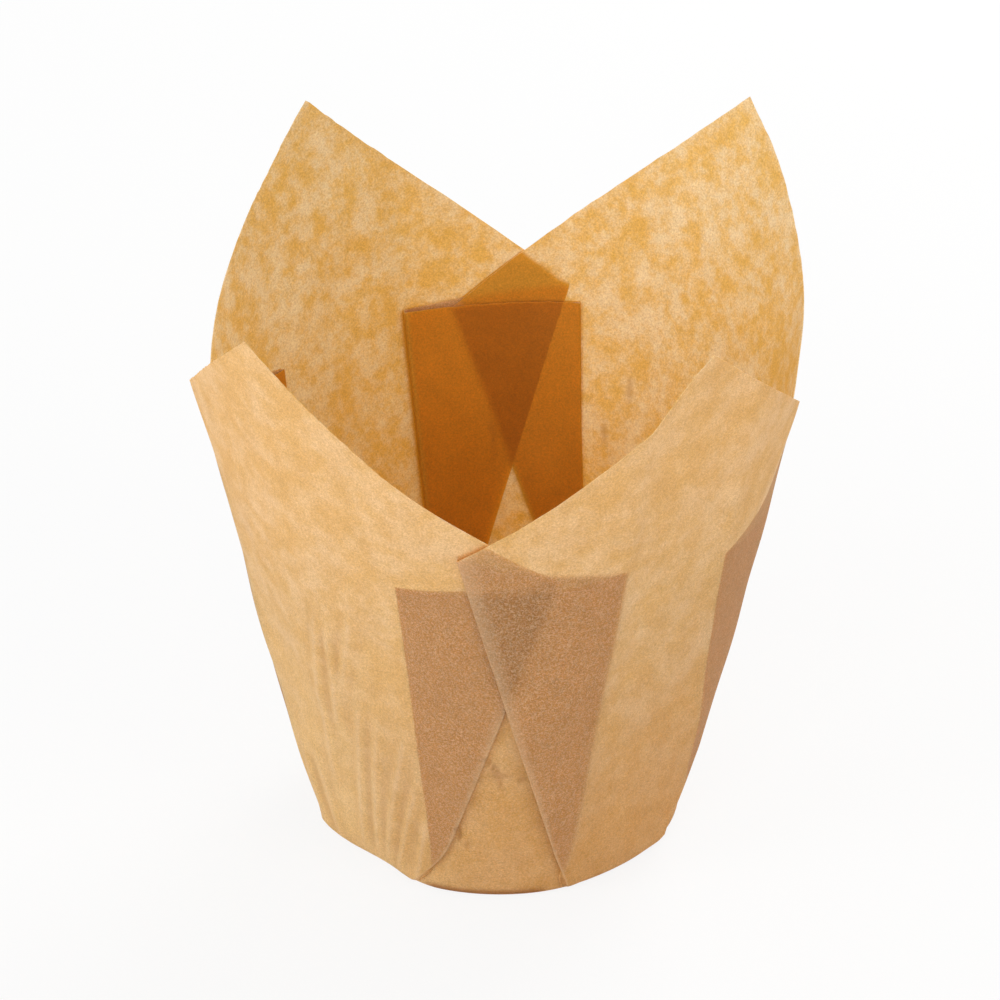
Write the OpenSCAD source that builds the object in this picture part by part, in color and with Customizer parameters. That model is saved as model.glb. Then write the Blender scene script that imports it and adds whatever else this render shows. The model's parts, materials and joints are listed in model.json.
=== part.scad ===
// A tulip cupcake liner: one square sheet of baking paper pressed over a round former.
// The middle of the sheet is the flat base and its four corners stand up as petals. Between
// two petals the paper is gathered in a box pleat: a panel inside the cup, folded back on
// itself at both sides, with the two petals crossing over it on the outside.
// Lengths are millimetres and angles are degrees. The base stands on Z = 0, centred on the
// origin. Round the cup, angles start at the front (-Y) and grow towards the right (+X).
// Lists of four go front, right, back, left for the pleats, and front right, back right,
// back left, front left for the petals.

/* [Sheet] */
// Side of the square sheet before it is pressed
sheet_side = 172; // [162:1:182]
// Thickness of the paper
sheet_t = 0.12; // [0.11:0.01:0.15]
// Room between two layers that lie on each other
layer_gap = 0.22; // [0.18:0.01:0.3]

/* [Cup] */
// Diameter of the flat base, over its bend
base_d = 50.6; // [46:0.2:54]
// Lean of the wall from the vertical
wall_angle = 11.4; // [10:0.1:14]
// How far the wall flares out of its cone at the height of the panels
wall_flare = 0.4; // [-1:0.1:1.5]
// Radius of the bend between base and wall
bend_r = 0.8; // [0.5:0.1:1.2]
// Paper that the bend and its small creases take up
bend_take = 0.6; // [0:0.1:1.5]
// How far each petal's side of the base is pressed straight
base_flat = [0.4, 0.6, 0.6, 1.7]; // [0:0.1:2]

/* [Pleats] */
// Distance between the feet of the two outer folds of each pleat, before they sweep outwards
panel_foot_w = [19, 19.9, 23.2, 21.5]; // [17:0.1:24.5]
// Width of each panel at its top edge
panel_top_w = [30.2, 33.5, 24.7, 31]; // [24:0.1:34]
// Turn of the middle of these two feet round the base
panel_foot_turn = [3.6, -0.9, -3.8, -3.3]; // [-7:0.1:7]
// Turn by which the foot of each left-hand petal's fold sweeps outwards at the base
left_foot_sweep = [7.6, 0, 0, 0]; // [0:0.1:9]
// Turn of each panel's top edge round the cup
panel_top_turn = [6.2, -7, 5.7, -6.5]; // [-8:0.1:8]
// Rise of each panel's right end and drop of its left end
panel_tilt = [1.1, -0.7, -0.2, 1.6]; // [-3:0.1:5]
// Rise of each panel's top edge above its place on a centred sheet
panel_rise = [0, -4.5, 0, 0]; // [-5:0.1:2]
// How far each panel's middle lies right of the middle of the sheet's side
panel_shift = [3.7, 3.8, -0.1, 0]; // [-4:0.1:8]
// Which petal lies over the other at each pleat: 1 the right-hand one, -1 the left-hand one
petal_over = [1, -1, 1, 1]; // [-1:2:1]
// Height above the base at which the folds of a pleat begin
fold_start = 1.6; // [1.5:0.1:2.4]
// Height above which the fold-back under each left-hand petal opens from the petal's fold
left_back_start = [4, 8.5, 9.2, 8.5]; // [3.5:0.1:9.5]
// The same height for each right-hand petal
right_back_start = [3, 3.4, 3, 3.4]; // [3:0.1:4]

/* [Petals] */
// Turn of each petal round the cup
petal_turn = [-3.1, 1.2, -2.3, 3.8]; // [-4:0.1:4]
// How far each petal leans out of the cone
petal_lean = [0.5, 1.6, -2, 1.8]; // [-3:0.1:4]
// Tilt of each petal's cut edges in its own plane
petal_tilt = [1.6, -3, 1.1, -1]; // [-3:0.1:3]
// Rise of each petal's corner above its place on a centred sheet
petal_rise = [0.8, 1.7, 0.3, 1.4]; // [-2:0.1:2.5]

/* [Smoothness] */
// Strips across each fold-back
fold_strips = 4; // [4:1:6]
// Strips across each panel
panel_strips = 6; // [4:2:8]
// Strips across each petal between its pleats
petal_strips = 8; // [6:2:10]
// Steps up the wall above the creased zone at the base
wall_steps = 6; // [4:1:8]

/* [Hidden] */

quarter = 90;
base_r = base_d / 2;
layer_pitch = sheet_t + layer_gap;
cone_sin = sin(wall_angle);
cone_cos = cos(wall_angle);
// Slant distance from the cone's tip to the base's edge, along the unrolled wall
cone_foot = base_r / cone_sin;
// Length of a panel and of a petal's middle line, from the base's edge
panel_reach = sheet_side / 2 - base_r - bend_take;
petal_reach = sheet_side / sqrt(2) - base_r - bend_take;
// Half the spread of the creases where a fold starts
crease_spread = 0.8;
// How far a fold's crest stands out past the layers that it joins
crest = layer_pitch / 2;
// Heights above a fold-back's start at which its crests stand out and its creases close up
crest_rise = 4;
crease_rise = 6;
// Slant heights between which the upper petal climbs onto the lower one
climb_from = 4;
climb_to = 16;
// Slant heights of the steps in the creased zone at the base
near_steps = [bend_r, fold_start, 3, 5, 7.5, 9, 10.5, 12.5];
// Reach of the straight sides up the wall, and half their angle
flat_reach = 40;
flat_half_angle = 27;
// Half angle over which a petal leans out
lean_half_angle = 60;
// Slant height at which a petal has its full lean
lean_height = 90;
// Share of its height over the pleat that a petal keeps at its next two lines
petal_settle = [0.4, 0.1];
// How fast the pull of a fold's lines fades over the petal beside it
pull_fade = 4;
// Slant height up to which a foot sweeps outwards
sweep_reach = 12;

function clamp01(x) = min(1, max(0, x));
function mix(a, b, share) = a + (b - a) * share;
function wrap(angle) = angle - 360 * floor((angle + 180) / 360);
function ring(list, i) = list[(i + len(list)) % len(list)];
function bump(angle, half) = pow(cos(90 * min(1, abs(angle) / half)), 2);
function unit(v) = v / norm(v);

function pleat_at(k) = quarter * k;
function petal_at(k) = quarter * (k + 0.5) + ring(petal_turn, k);

// A place on the wall is [angle round the cup, slant height]. Unrolled, the cone is flat,
// and a straight cut or fold of the sheet is a straight line there. Each petal and each
// pleat is worked out in the unrolled wall with its own middle line along Y.
function unrolled(place, middle) =
    let(turn = wrap(place[0] - middle) * cone_sin, reach = cone_foot + place[1])
    [reach * sin(turn), reach * cos(turn)];
function rolled(point, middle) =
    [middle + atan2(point[0], point[1]) / cone_sin, norm(point) - cone_foot];

function petals_lean(angle) =
    [for (k = [0:3]) ring(petal_lean, k) * bump(wrap(angle - petal_at(k)), lean_half_angle)]
    * [1, 1, 1, 1];
function sides_flat(angle) =
    [for (k = [0:3]) base_flat[k] * bump(wrap(angle - petal_at(k)), flat_half_angle)]
    * [1, 1, 1, 1];
function wall_r(angle, slant) =
    base_r + slant * cone_sin
    + wall_flare * pow(slant / panel_reach, 2)
    + petals_lean(angle) * pow(slant / lean_height, 2)
    - sides_flat(angle) * pow(1 - clamp01(slant / flat_reach), 2);

// The point on the wall at an angle and slant height, moved out of it by a height in layers
function wall_point(angle, slant, layers) =
    let(
        out = layers * layer_pitch,
        r = wall_r(angle, slant) + out * cone_cos,
        z = sheet_t / 2 + slant * cone_cos - out * cone_sin
    )
    [r * sin(angle), -r * cos(angle), z];

// Places of the folds. side is -1 for the left and 1 for the right fold of pleat k.
function foot_place(k, side) =
    [pleat_at(k) + panel_foot_turn[k] + side * asin(panel_foot_w[k] / base_d), 0];
function inner_top(k, side) =
    let(
        point = [
            side * panel_top_w[k] / 2,
            cone_foot + panel_reach + panel_rise[k] + side * panel_tilt[k]
        ]
    )
    rolled(point, pleat_at(k) + panel_top_turn[k]);
function petal_of(k, side) = side > 0 ? k : (k + 3) % 4;
function corner(p) = [0, cone_foot + petal_reach + petal_rise[p]];
// Direction of a petal's cut edge from its corner towards the pleat on the given side
function edge_way(p, side) =
    let(turn = 45 + side * petal_tilt[p])
    [side * sin(turn), -cos(turn)];
// The cut edge runs over the crest of the outer fold and back to the top of the inner fold.
// With the panel's half and both stretches it is as long as half the sheet's side, more on
// the left and less on the right where the panel lies off the side's middle.
function edge_run(k, side) =
    let(
        p = petal_of(k, side),
        half = (sheet_side - panel_top_w[k]) / 2 - side * panel_shift[k],
        gap = corner(p) - unrolled(inner_top(k, side), petal_at(p))
    )
    (half * half - gap * gap) / (2 * (edge_way(p, -side) * gap + half));
function outer_top(k, side) =
    let(p = petal_of(k, side))
    corner(p) + edge_run(k, side) * edge_way(p, -side);
// Where the line of the inner fold, carried on upwards, meets the petal's cut edge
function settle_top(k, side) =
    let(
        p = petal_of(k, side),
        foot = unrolled(foot_place(k, side), petal_at(p)),
        line = unrolled(inner_top(k, side), petal_at(p)) - foot,
        way = edge_way(p, -side),
        gap = corner(p) - foot,
        run = (gap[0] * line[1] - gap[1] * line[0]) / (way[1] * line[0] - way[0] * line[1])
    )
    corner(p) + run * way;

// A line up the wall, from its foot to the sheet's cut edge, cut into the same steps
steps = len(near_steps) + wall_steps;
function step_slant(length, i) =
    let(last = len(near_steps) - 1)
    i <= last ? near_steps[i] : mix(near_steps[last], length, (i - last) / wall_steps);
// A fold-back opens above its start. Below it, its lines run together with the outer fold, so
// each line is pulled by a share of its slant height from its own way to the fold's way.
function pull(k, side, length, slant) =
    let(start = back_start(k, side))
    min(slant, start * max(0, length - slant) / (length - start));
function inner_reach(k, side) =
    norm(unrolled(inner_top(k, side), pleat_at(k)) - unrolled(foot_place(k, side), pleat_at(k)));
function pull_way(k, side, top, middle) =
    let(
        foot = unrolled(foot_place(k, side), middle),
        outer = unrolled(rolled(outer_top(k, side), petal_at(petal_of(k, side))), middle)
    )
    unit(outer - foot) - unit(top - foot);
// Turn of a fold's lines near its foot
function swept(k, side, slant) =
    side > 0 ? 0 : -left_foot_sweep[k] * pow(1 - clamp01(slant / sweep_reach), 2);

// Heights in layers of a fold's lines. One petal climbs over the other.
function climb(k, side, slant) =
    side == petal_over[k] ? 2 * clamp01((slant - climb_from) / (climb_to - climb_from)) : 0;
function back_start(k, side) = side < 0 ? left_back_start[k] : right_back_start[k];
function opened(k, side, slant) = clamp01((slant - back_start(k, side)) / crest_rise);
function creased(k, side, slant) = 1 - clamp01((slant - back_start(k, side)) / crease_rise);
function raised(slant) = clamp01(slant / fold_start);

// One fold of a pleat is a row of lines, from the petal across the pleat to the outer crest,
// back under it along the fold-back, and round the inner crest. Each is [its share of the
// fold's width, its layer, how far that layer shifts where the fold starts and the paper is
// a single ramp, whether the line is on the petal, which way it is a crest].
fold_lines = concat(
    [for (i = [0:fold_strips]) [i / fold_strips, 2, 0, 1, 0]],
    [[1, 1.5, 0.25, 0, 1]],
    [for (i = [0:fold_strips]) let(share = 1 - i / fold_strips) [share, 1, share - 0.5, 0, 0]],
    [[0, 0.5, -0.25, 0, -1]]
);

// Every line is a list of [angle, slant height, layers, shift along the wall] up its steps
function fold_line(k, side, index) =
    let(
        p = petal_of(k, side),
        middle = petal_at(p),
        line = fold_lines[index],
        foot = unrolled(foot_place(k, side), middle),
        inner = unrolled(inner_top(k, side), middle),
        at_inner = line[3] > 0 ? settle_top(k, side) : inner,
        top = mix(at_inner, outer_top(k, side), line[0]),
        length = norm(top - foot),
        way = pull_way(k, side, top, middle),
        pulled = norm(mix(inner, outer_top(k, side), line[0]) - foot),
        place = 2 * index / len(fold_lines) - 1
    )
    [
        for (i = [0:steps - 1])
            let(
                slant = step_slant(length, i),
                on_way = foot + slant * unit(top - foot),
                spot = rolled(on_way + pull(k, side, pulled, slant) * way, middle),
                over = climb(k, side, slant) * min(1, line[1]),
                crease = creased(k, side, slant),
                layer = line[1] + line[2] * crease + over,
                shift = crest * line[4] * opened(k, side, slant) + place * crease_spread * crease
            )
            [spot[0] + swept(k, side, slant), spot[1], layer * raised(slant), -side * shift]
    ];

// A panel and a petal make room for the creases of the fold on their left and on their right
function crease_shift(k_left, side_left, k_right, side_right, share, slant) =
    (1 - share) * crease_spread * creased(k_left, side_left, slant)
    - share * crease_spread * creased(k_right, side_right, slant);

function panel_line(k, share) =
    let(
        middle = pleat_at(k),
        foot_l = foot_place(k, -1),
        foot_r = foot_place(k, 1),
        top_l = unrolled(inner_top(k, -1), middle),
        top_r = unrolled(inner_top(k, 1), middle),
        foot = unrolled([mix(foot_l[0], foot_r[0], share), 0], middle),
        top = mix(top_l, top_r, share),
        length = norm(top - foot),
        reach_l = inner_reach(k, -1),
        reach_r = inner_reach(k, 1),
        way_l = (1 - share) * pull_way(k, -1, top_l, middle),
        way_r = share * pull_way(k, 1, top_r, middle)
    )
    [
        for (i = [0:steps - 1])
            let(
                slant = step_slant(length, i),
                on_way = foot + slant * unit(top - foot),
                pulled = pull(k, -1, reach_l, slant) * way_l + pull(k, 1, reach_r, slant) * way_r,
                spot = rolled(on_way + pulled, middle),
                angle = spot[0] + (1 - share) * swept(k, -1, slant)
            )
            [angle, spot[1], 0, crease_shift(k, -1, k, 1, share, slant)]
    ];

function petal_line(p, index) =
    let(
        middle = petal_at(p),
        next = (p + 1) % 4,
        share = index / petal_strips,
        foot_l = wrap(foot_place(p, 1)[0] - middle),
        foot_r = wrap(foot_place(next, -1)[0] - middle),
        foot = unrolled([middle + mix(foot_l, foot_r, share), 0], middle),
        top = share < 0.5
            ? mix(settle_top(p, 1), corner(p), 2 * share)
            : mix(corner(p), settle_top(next, -1), 2 * share - 1),
        k = share < 0.5 ? p : next,
        side = share < 0.5 ? 1 : -1,
        length = norm(top - foot),
        reach_l = inner_reach(p, 1),
        reach_r = inner_reach(next, -1),
        way_l = pow(1 - share, pull_fade) * pull_way(p, 1, settle_top(p, 1), middle),
        way_r = pow(share, pull_fade) * pull_way(next, -1, settle_top(next, -1), middle),
        from_fold = min(index, petal_strips - index),
        keeps = from_fold > len(petal_settle) ? 0 : petal_settle[from_fold - 1]
    )
    [
        for (i = [0:steps - 1])
            let(
                slant = step_slant(length, i),
                on_way = foot + slant * unit(top - foot),
                pulled = pull(p, 1, reach_l, slant) * way_l + pull(next, -1, reach_r, slant) * way_r,
                spot = rolled(on_way + pulled, middle),
                angle = spot[0] + share * swept(next, -1, slant),
                lift = keeps * (2 + climb(k, side, slant)) * raised(slant)
            )
            [angle, spot[1], lift, crease_shift(p, 1, next, -1, share, slant)]
    ];

// All lines round the cup: each pleat's left fold, its panel, its right fold, and the petal
lines = [
    for (k = [0:3])
        each concat(
            [for (i = [0:len(fold_lines) - 1]) fold_line(k, -1, i)],
            [for (i = [0:panel_strips]) panel_line(k, i / panel_strips)],
            [for (i = [len(fold_lines) - 1:-1:0]) fold_line(k, 1, i)],
            [for (i = [1:petal_strips - 1]) petal_line(k, i)]
        )
];
count = len(lines);

function shifted(spot) =
    let(angle = spot[0] + spot[3] / wall_r(spot[0], spot[1]) * 180 / PI)
    wall_point(angle, spot[1], spot[2]);
// The middle of the paper, row by row: two rows round the bend of the base, then the wall
foot_row = [for (j = [0:count - 1]) let(spot = lines[j][0]) [spot[0], 0, 0, spot[3]]];
base_row = [
    for (spot = foot_row)
        let(p = shifted(spot), r = norm([p[0], p[1]]))
        [p[0] * (r - bend_r) / r, p[1] * (r - bend_r) / r, sheet_t / 2]
];
bend_row = [
    for (spot = foot_row)
        let(p = shifted(spot), r = norm([p[0], p[1]]), off = bend_r * (1 - sqrt(0.5)))
        [p[0] * (r - off) / r, p[1] * (r - off) / r, sheet_t / 2 + off]
];
wall_rows = [for (i = [0:steps - 1]) [for (j = [0:count - 1]) shifted(lines[j][i])]];
paper = concat([base_row, bend_row], wall_rows);
rows = len(paper);

// Direction out of the cup, square to the paper
function out_of(i, j) =
    i == 0
        ? [0, 0, -1]
        : let(
            along = ring(paper[i], j + 1) - ring(paper[i], j - 1),
            up = paper[min(rows - 1, i + 1)][j] - paper[i - 1][j]
        )
        unit(cross(along, up));
outer_face = [
    for (i = [0:rows - 1]) for (j = [0:count - 1]) paper[i][j] + out_of(i, j) * sheet_t / 2
];
inner_face = [
    for (i = [0:rows - 1]) for (j = [0:count - 1]) paper[i][j] - out_of(i, j) * sheet_t / 2
];

function at(i, j) = i * count + j % count;
// Triangles of one face of the sheet, seen from outside, with numbers that start at first
function face_strips(first) = [
    for (i = [0:rows - 2]) for (j = [0:count - 1])
        each [
            [first + at(i, j), first + at(i + 1, j), first + at(i + 1, j + 1)],
            [first + at(i, j), first + at(i + 1, j + 1), first + at(i, j + 1)]
        ]
];
function turned(triangles) = [for (t = triangles) [t[2], t[1], t[0]]];

module liner() {
    size = rows * count;
    last = rows - 1;
    color("burlywood")
        polyhedron(
            points = concat(outer_face, inner_face, [[0, 0, 0], [0, 0, sheet_t]]),
            faces = concat(
                face_strips(0),
                turned(face_strips(size)),
                [
                    for (j = [0:count - 1])
                        each [
                            [2 * size, at(0, j), at(0, j + 1)],
                            [2 * size + 1, size + at(0, j + 1), size + at(0, j)],
                            [at(last, j), size + at(last, j), size + at(last, j + 1)],
                            [at(last, j), size + at(last, j + 1), at(last, j + 1)]
                        ]
                ]
            ),
            convexity = 12
        );
}

liner();
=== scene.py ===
import json
import math
import bpy
import numpy as np
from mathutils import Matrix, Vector

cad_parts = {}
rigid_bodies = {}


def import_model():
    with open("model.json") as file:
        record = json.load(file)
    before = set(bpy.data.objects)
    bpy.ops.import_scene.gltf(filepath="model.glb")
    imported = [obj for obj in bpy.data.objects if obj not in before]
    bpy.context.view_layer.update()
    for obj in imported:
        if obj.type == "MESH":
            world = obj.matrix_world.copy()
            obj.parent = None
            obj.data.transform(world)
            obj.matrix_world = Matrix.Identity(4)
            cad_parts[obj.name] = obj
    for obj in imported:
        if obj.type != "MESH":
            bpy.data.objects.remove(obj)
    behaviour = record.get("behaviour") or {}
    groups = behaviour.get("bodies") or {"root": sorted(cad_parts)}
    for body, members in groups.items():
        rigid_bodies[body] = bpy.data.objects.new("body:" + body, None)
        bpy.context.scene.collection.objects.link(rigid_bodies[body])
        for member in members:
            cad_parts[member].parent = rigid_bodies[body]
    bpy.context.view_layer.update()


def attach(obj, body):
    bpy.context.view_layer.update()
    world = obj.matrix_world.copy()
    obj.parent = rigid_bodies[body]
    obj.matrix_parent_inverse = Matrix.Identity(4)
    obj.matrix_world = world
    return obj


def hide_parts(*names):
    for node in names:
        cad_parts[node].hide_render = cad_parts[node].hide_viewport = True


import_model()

bl_info = {
    "name": "Tulip cupcake liner",
    "version": (1, 0, 0),
    "blender": (4, 5, 0),
    "location": "View3D > Sidebar > Liner",
    "description": "Folds a square sheet of baking paper into a tulip cupcake liner",
    "category": "Add Mesh",
}

MM = 0.001
# The pleats are counted from the front one to the right, back and left ones, and each petal has the
# number of the pleat on its left
PLEATS = range(4)
LEFT_SIDE, RIGHT_SIDE = -1, 1

# The same heights up the wall as in the part's source
CREST_RISE, CREASE_RISE = 4 * MM, 6 * MM
CREASE_SPREAD = 0.8 * MM
CLIMB_FROM, CLIMB_TO = 4 * MM, 16 * MM
FLAT_REACH, FLAT_HALF_ANGLE = 40 * MM, 27
LEAN_HEIGHT, LEAN_HALF_ANGLE = 90 * MM, 60
PULL_FADE = 4
SWEEP_REACH = 12 * MM
# Share of its height over the pleat that a petal keeps, by its distance from the fold
SETTLE_SHARES = ((0, 1.0), (1 / 8, 0.4), (2 / 8, 0.1), (3 / 8, 0.0), (0.5, 0.0))

# Strips of the sheet: across a fold-back, round a crest, across each panel and each petal, then rings
# in the base by their share of its radius, round the bend by their angle, and up the wall's foot by
# their height in mm, with WALL_STEPS more above them that grow wider upwards
FOLD_STRIPS, CREST_STRIPS = 10, 5
PANEL_STRIPS = (44, 14, 24, 14)
PETAL_STRIPS = (60, 44, 44, 110)
BASE_RINGS = (0, 0.2, 0.4, 0.55, 0.68, 0.79, 0.88, 0.95, 1)
BEND_ANGLES = (22.5, 45, 67.5)
NEAR_STEPS = (0.8, 1.2, 1.6, 2.0, 2.4, 3.0, 3.7, 4.5, 5.5, 6.5, 7.5, 9.0, 10.5, 12.0)
WALL_STEPS, STEP_GROWTH = 52, 1.3
# In metres, and in degrees between two faces
MERGE_DISTANCE, SMOOTH_ANGLE = 1e-7, 50
# Shares of the base's radius that its flat and its bend take up on the flat sheet
FLAT_SHARE, BEND_SHARE = 0.97, 0.03

# Soft ridges and sharp creases in the wall: angle and height in mm of both ends, then the height
# and the half width in mm
RIDGES = (
    (-50, 26, -38.3, 54, 0.42, 0.8),
    (-43.2, 23, -36.9, 50, 0.4, 0.75),
    (-38.5, 33, -29, 53, 0.34, 0.8),
    (-48.6, -3, -30.3, 41, 0.46, 0.8),
    (-41.6, -3, -27, 35, 0.45, 0.75),
    (-38.5, -3, -17.3, 36, 0.5, 0.8),
    (-33.8, -3, -15.5, 26, 0.46, 0.65),
    (-24.9, -3, -15.3, 17, 0.4, 0.65),
    (-57.5, -3, -58.5, 19, 0.34, 0.8),
    (-66, -2, -65, 20, 0.34, 0.8),
    (-53, 10, -46, 34, 0.34, 0.8),
)
CREASES = (
    (-1.1, 28.6, 4.8, 24, -0.16, 0.3),
    (-3.5, 23.2, 7.5, 24.3, -0.18, 0.3),
    (5.5, 24.2, 12.5, 22.6, -0.15, 0.3),
    (-8.6, 14.7, -7.1, 11.4, -0.16, 0.3),
    (-8.5, 12.3, -3.8, 9.4, -0.14, 0.3),
    (1.9, 26.7, 5.2, 20.5, -0.12, 0.3),
    (22.9, 3.4, 25.3, 0.4, -0.12, 0.25),
    (159, 45, 155.6, 37.5, -0.16, 0.3),
    (153.5, 52, 151, 45, -0.12, 0.3),
    (-173.9, 44, -174.5, 32, -0.14, 0.3),
)
# Shares of their length over which the two ends of each fade out
START_FADE, END_FADE = 0.25, 0.3
# The painted shade at both sides of a ridge's painted highlight: its half width over the ridge's, and its
# share
VALLEY_WIDTH, VALLEY_SHARE = 2.4, 0.5
# Waves in the wall: how many, their height in mm, the range of their crests round the cup, and the
# most that they turn, in radians per mm of height
WAVES, WAVE_HEIGHT, WAVE_TURNS, WAVE_RISE = 14, 0.05, (4, 15), 0.35
WAVE_SEED = 3
# How far in mm the cut edge strays from its line
EDGE_ROUGHNESS, EDGE_SEED = 0.09, 5
# Above this height the ridges, creases and waves have their full height
RELIEF_RISE = 4 * MM

# The lines at which a layer of paper begins or ends, as seen through the sheet
LAYER_EDGES = (
    "left_inner",
    "right_inner",
    "left_outer",
    "right_outer",
    "panel_top",
    "left_back_top",
    "right_back_top",
    "left_cut",
    "right_cut",
)
MOST_LAYERS = 5
# How far in mm each pleat's right-hand field of painted layer shade stays short of its fold
HIDDEN_SHADE_INSET = (0, 0, 0, 2.2)
# What the base gets instead of a distance in mm from these lines, because it lies outside them all
OUTSIDE_ALL = -20.0
# The painted shadow along the base's edge under the front pleat, where the bend turns under to the floor:
# its middle, half width and fade in degrees, and its height and fade in mm
RIM_MIDDLE, RIM_HALF, RIM_FADE = -1, 21, 5
RIM_HEIGHT, RIM_SOFTNESS = 0.6, 1.2


def length(name, text, value):
    return bpy.props.FloatProperty(
        name=name, description=text, default=value * MM, min=0.0, max=1.0, precision=5, unit="LENGTH"
    )


def four_lengths(name, text, values):
    return bpy.props.FloatVectorProperty(
        name=name, description=text, default=[v * MM for v in values], size=4, precision=5, unit="LENGTH"
    )


def four_angles(name, text, values):
    return bpy.props.FloatVectorProperty(
        name=name,
        description=text,
        default=[math.radians(v) for v in values],
        size=4,
        unit="ROTATION",
    )


class LinerSizes(bpy.types.PropertyGroup):
    sheet_side: length("Sheet side", "Side of the square sheet before it is pressed", 172)
    sheet_thickness: length("Paper", "Thickness of the paper", 0.12)
    layer_gap: length("Layer gap", "Room between two layers that lie on each other", 0.22)
    base_diameter: length("Base", "Diameter of the flat base, over its bend", 50.6)
    bend_radius: length("Bend", "Radius of the bend between base and wall", 0.8)
    bend_take: length("Bend's paper", "Paper that the bend and its small creases take up", 0.6)
    wall_angle: bpy.props.FloatProperty(
        name="Wall angle",
        description="Lean of the wall from the vertical",
        default=math.radians(11.4),
        subtype="ANGLE",
    )
    wall_flare: length("Wall flare", "How far the wall flares out at the height of the panels", 0.4)
    base_flat: four_lengths(
        "Straight sides", "How far each petal's side of the base is pressed straight", (0.4, 0.6, 0.6, 1.7)
    )
    panel_foot_width: four_lengths(
        "Panel foot",
        "Distance between the two outer folds of each pleat at the base",
        (19, 19.9, 23.2, 21.5),
    )
    panel_top_width: four_lengths("Panel top", "Width of each panel at its top edge", (30.2, 33.5, 24.7, 31))
    panel_foot_turn: four_angles(
        "Foot turn", "Turn of the middle of these two feet round the base", (3.6, -0.9, -3.8, -3.3)
    )
    panel_top_turn: four_angles(
        "Top turn", "Turn of each panel's top edge round the cup", (6.2, -7, 5.7, -6.5)
    )
    panel_tilt: four_lengths(
        "Panel tilt", "Rise of each panel's right end and drop of its left end", (1.1, -0.7, -0.2, 1.6)
    )
    panel_shift: four_lengths(
        "Panel shift",
        "How far each panel's middle lies right of the middle of the side",
        (3.7, 3.8, -0.1, 0),
    )
    panel_rise: four_lengths("Panel rise", "Rise of each panel's top edge", (0, -4.5, 0, 0))
    petal_over: bpy.props.IntVectorProperty(
        name="Petal over",
        description="Which petal lies over the other at each pleat: 1 right, -1 left",
        default=(1, -1, 1, 1),
        size=4,
    )
    fold_start: length("Fold start", "Height above the base at which the folds begin", 1.6)
    left_foot_sweep: four_angles(
        "Foot sweep", "Turn by which each left-hand petal's fold sweeps outwards at the base", (7.6, 0, 0, 0)
    )
    left_back_start: four_lengths(
        "Left start", "Height above which the fold-back under each left-hand petal opens", (4, 8.5, 9.2, 8.5)
    )
    right_back_start: four_lengths(
        "Right start", "The same height for each right-hand petal", (3, 3.4, 3, 3.4)
    )
    petal_turn: four_angles("Petal turn", "Turn of each petal round the cup", (-3.1, 1.2, -2.3, 3.8))
    petal_lean: four_lengths("Petal lean", "How far each petal leans out of the cone", (0.5, 1.6, -2, 1.8))
    petal_tilt: four_angles("Petal tilt", "Tilt of each petal's cut edges", (1.6, -3, 1.1, -1))
    petal_rise: four_lengths("Petal rise", "Rise of each petal's corner", (0.8, 1.7, 0.3, 1.4))


class LinerFinish(bpy.types.PropertyGroup):
    grain_size: length("Grain", "Size of the paper's fine grain", 0.26)
    fibre_length: length("Fibres", "Length of the short pale fibres in the paper", 0.7)
    fibre_width: length("Fibre width", "Width of these fibres", 0.14)
    cloud_size: length("Clouds", "Size of the small pale clouds in the paper", 2.8)
    blotch_size: length("Blotches", "Size of the larger soft blotches in the paper", 7)
    roughness: bpy.props.FloatProperty(
        name="Roughness", description="Roughness of the paper", default=0.62, min=0, max=1, subtype="FACTOR"
    )
    translucence: bpy.props.FloatProperty(
        name="Translucence",
        description="Share of the light that the paper lets through",
        default=0.4,
        min=0,
        max=1,
        subtype="FACTOR",
    )


def wrap(angle):
    return (angle + 180) % 360 - 180


def clamp01(x):
    return np.clip(x, 0.0, 1.0)


def smooth01(x):
    x = clamp01(x)
    return x * x * (3 - 2 * x)


def hump(angle, half):
    return np.cos(np.radians(90 * np.minimum(1, np.abs(angle) / half))) ** 2


def dot(a, b):
    return (a * np.conj(b)).real


def cross(a, b):
    return (np.conj(a) * b).imag


def unit(a):
    return a / abs(a)


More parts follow.
